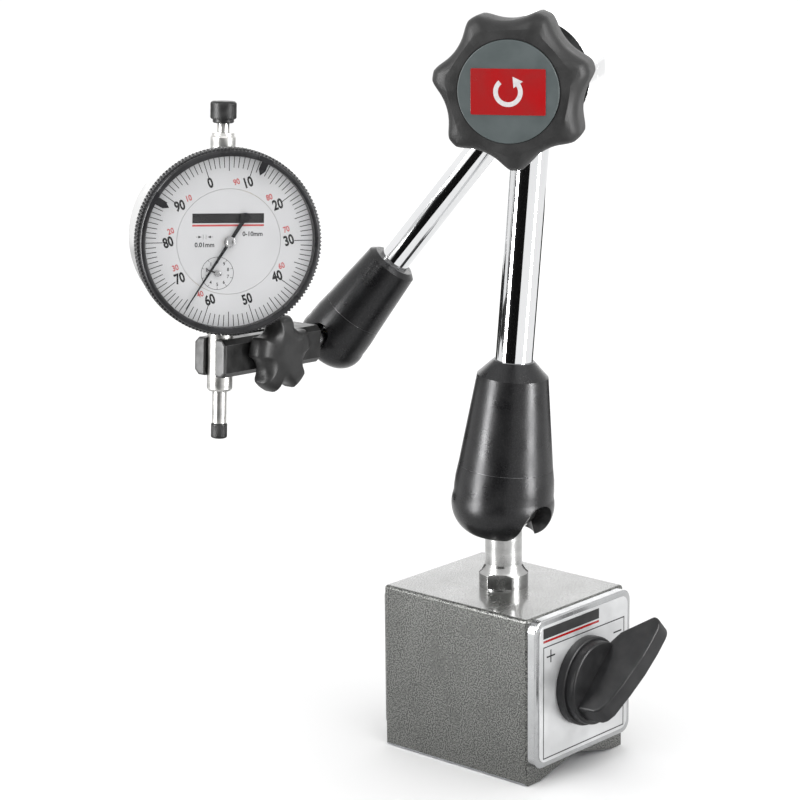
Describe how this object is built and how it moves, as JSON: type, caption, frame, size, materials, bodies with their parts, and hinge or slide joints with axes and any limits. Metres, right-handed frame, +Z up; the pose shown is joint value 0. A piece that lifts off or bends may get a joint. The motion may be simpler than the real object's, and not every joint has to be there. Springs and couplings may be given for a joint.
{
  "type": "dial indicator on magnetic base",
  "caption": "Plunger dial indicator held by a jointed, single-knob locking arm on a switchable magnetic base block with a V-grooved underside",
  "frame": {"origin": "centre of the magnetic base's underside, in the plane of its two feet", "axes": "+Z up, the switch lever and front plate face -Y, the V groove runs along Y"},
  "size_m": [0.1356, 0.1306, 0.2438],
  "materials": {
    "hammer_paint": "hammered dark grey enamel, glossy",
    "spacer_brass": "ground",
    "frame_metal": "satin, clear anodised",
    "label_print": "silver-white printed foil",
    "black_plastic": "moulded, fine texture",
    "black_oxide": "black oxide on turned steel, satin",
    "chrome_plate": "bright chrome plating",
    "bare_steel": "turned steel",
    "rotor_iron": "turned soft iron",
    "magnet_black": "sintered magnet",
    "cap_grey": "satin grey disc",
    "badge_red": "glossy red",
    "case_silver": "fine satin, nickel plated",
    "stem_steel": "ground bright steel",
    "bezel_black": "black, knurled edge",
    "dial_white": "white enamel, printed scale",
    "crystal_clear": "clear moulded crystal",
    "pointer_black": "black lacquered hand",
    "movement_brass": "pressed brass",
    "knurled_black": "black oxide, knurled"
  },
  "bodies": {
    "base": {"pole_block_left": "hammer_paint", "pole_block_right": "hammer_paint", "pole_spacer": "spacer_brass", "front_frame": "frame_metal", "rear_cover": "frame_metal", "front_frame_screws": "bare_steel", "front_label": "label_print"},
    "switch": {"magnet_rotor": "rotor_iron", "rotor_magnet": "magnet_black", "switch_shaft": "bare_steel", "lever_collar": "black_plastic", "switch_lever": "black_plastic"},
    "lower_stud": {"lower_ball_stud": "bare_steel"},
    "lower_socket": {"lower_cup": "black_oxide", "lower_sleeve": "black_oxide"},
    "lower_arm": {"lower_tube": "chrome_plate", "lower_housing": "chrome_plate", "thrust_collar": "bare_steel"},
    "lower_rod": {"lower_push_rod": "bare_steel", "lower_ball_seat": "bare_steel"},
    "bolt": {"clamp_bolt": "bare_steel", "rear_cap": "chrome_plate"},
    "knob": {"star_knob": "black_plastic", "knob_insert": "bare_steel", "knob_cap_disc": "cap_grey", "knob_badge": "badge_red"},
    "upper_arm": {"upper_housing": "chrome_plate", "upper_tube": "chrome_plate", "upper_sleeve": "black_oxide", "upper_cup": "black_oxide"},
    "upper_rod": {"upper_push_rod": "bare_steel", "upper_ball_seat": "bare_steel"},
    "upper_stud": {"upper_ball_stud": "bare_steel"},
    "clamp": {"stem_clamp": "black_oxide", "clamp_screw": "bare_steel"},
    "clamp_grip": {"clamp_knob": "black_plastic"},
    "indicator": {"indicator_case": "case_silver", "back_cover": "case_silver", "back_cover_screws": "bare_steel", "stem": "stem_steel", "upper_bush": "stem_steel", "movement_plate": "movement_brass", "rear_bridge": "movement_brass", "dial_plate": "movement_brass", "inner_dial": "dial_white", "return_spring": "bare_steel"},
    "bezel_ring": {"bezel": "bezel_black", "dial_ring": "dial_white", "crystal": "crystal_clear"},
    "marker_high": {"limit_marker_high": "bezel_black"},
    "marker_low": {"limit_marker_low": "bezel_black"},
    "plunger": {"spindle": "stem_steel", "contact_point": "knurled_black", "lifting_knob": "knurled_black"},
    "centre_train": {"centre_pinion": "movement_brass", "main_pointer": "pointer_black"},
    "counter_train": {"counter_gear": "movement_brass", "counter_pointer": "pointer_black"},
    "take_up_train": {"take_up_gear": "movement_brass", "hairspring": "bare_steel"}
  },
  "joints": [
    {"name": "switch_turn", "type": "hinge", "parent": "base", "child": "switch", "pos_m": [0, -0.033, 0.03], "axis": [0, -1, 0], "range_deg": [0, 94]},
    {"name": "lower_ball_swivel", "type": "hinge", "parent": "base", "child": "lower_stud", "pos_m": [0, 0, 0.055], "axis": [0, 0, 1], "continuous": true},
    {"name": "lower_ball_tilt", "type": "hinge", "parent": "lower_stud", "child": "lower_socket", "pos_m": [0, 0, 0.085], "axis": [-0.9991, 0.0197, 0.0384], "range_deg": [-50, 12]},
    {"name": "lower_ball_spin", "type": "hinge", "parent": "lower_socket", "child": "lower_arm", "pos_m": [0, 0, 0.085], "axis": [0.037, -0.0672, 0.9971], "continuous": true},
    {"name": "arm_hinge", "type": "hinge", "parent": "lower_arm", "child": "upper_arm", "pos_m": [0.00504, -0.00916, 0.2209], "axis": [-0.8763, -0.4818, 0], "range_deg": [-180, 15]},
    {"name": "knob_turn", "type": "hinge", "parent": "lower_arm", "child": "knob", "pos_m": [0.00504, -0.00916, 0.2209], "axis": [-0.8763, -0.4818, 0], "range_deg": [0, 360]},
    {"name": "bolt_draw", "type": "slide", "parent": "lower_arm", "child": "bolt", "axis": [-0.8763, -0.4818, 0], "range_m": [-0.0015, 0]},
    {"name": "lower_rod_slide", "type": "slide", "parent": "lower_arm", "child": "lower_rod", "axis": [0.037, -0.0672, 0.9971], "range_m": [0, 0.00035]},
    {"name": "upper_rod_slide", "type": "slide", "parent": "upper_arm", "child": "upper_rod", "axis": [0.2979, -0.5419, 0.7859], "range_m": [0, 0.00035]},
    {"name": "upper_ball_tilt", "type": "hinge", "parent": "upper_arm", "child": "upper_stud", "pos_m": [-0.01539, 0.05914, 0.13233], "axis": [-0.0147, 0.8205, 0.5714], "range_deg": [-90, 8]},
    {"name": "clamp_swivel", "type": "hinge", "parent": "upper_stud", "child": "clamp", "pos_m": [-0.01539, 0.05914, 0.13233], "axis": [-0.9965, -0.0592, 0.0593], "continuous": true},
    {"name": "clamp_knob_turn", "type": "hinge", "parent": "clamp", "child": "clamp_grip", "pos_m": [-0.05475, 0.0568, 0.13467], "axis": [0.0593, -0.9982, 0], "range_deg": [0, 180]},
    {"name": "indicator_turn", "type": "hinge", "parent": "clamp", "child": "indicator", "pos_m": [-0.0714, 0.05581, 0.13567], "axis": [0.0592, 0.0035, 0.9982], "range_deg": [-120, 22]},
    {"name": "bezel_turn", "type": "hinge", "parent": "indicator", "child": "bezel_ring", "pos_m": [-0.06919, 0.05594, 0.1728], "axis": [-0.5311, -0.8466, 0.0345], "continuous": true},
    {"name": "marker_high_turn", "type": "hinge", "parent": "bezel_ring", "child": "marker_high", "pos_m": [-0.06919, 0.05594, 0.1728], "axis": [-0.5311, -0.8466, 0.0345], "range_deg": [-60, 25]},
    {"name": "marker_low_turn", "type": "hinge", "parent": "bezel_ring", "child": "marker_low", "pos_m": [-0.06919, 0.05594, 0.1728], "axis": [-0.5311, -0.8466, 0.0345], "range_deg": [-25, 60]},
    {"name": "spindle_slide", "type": "slide", "parent": "indicator", "child": "plunger", "axis": [0.0592, 0.0035, 0.9982], "range_m": [0, 0.01], "stiffness_N_per_m": 50, "springref_m": -0.02, "deforming": ["return_spring"]},
    {"name": "counter_turn", "type": "hinge", "parent": "indicator", "child": "counter_train", "pos_m": [-0.07272, 0.05776, 0.16325], "axis": [-0.5311, -0.8466, 0.0345], "range_deg": [0, 361]},
    {"name": "centre_turn", "type": "hinge", "parent": "indicator", "child": "centre_train", "pos_m": [-0.06919, 0.05594, 0.1728], "axis": [-0.5311, -0.8466, 0.0345], "range_deg": [-3601, 0]},
    {"name": "take_up_turn", "type": "hinge", "parent": "indicator", "child": "take_up_train", "pos_m": [-0.06345, 0.05202, 0.16515], "axis": [-0.5311, -0.8466, 0.0345], "range_deg": [0, 361]}
  ],
  "couplings": [
    {"joint": "bolt_draw", "follows": "knob_turn", "m_per_rad": -0.00023873},
    {"joint": "lower_rod_slide", "follows": "knob_turn", "m_per_rad": 0.000055704},
    {"joint": "upper_rod_slide", "follows": "knob_turn", "m_per_rad": 0.000055704},
    {"joint": "counter_turn", "follows": "spindle_slide", "rad_per_m": 628.32},
    {"joint": "centre_turn", "follows": "spindle_slide", "rad_per_m": -6283.2},
    {"joint": "take_up_turn", "follows": "spindle_slide", "rad_per_m": 628.32}
  ]
}
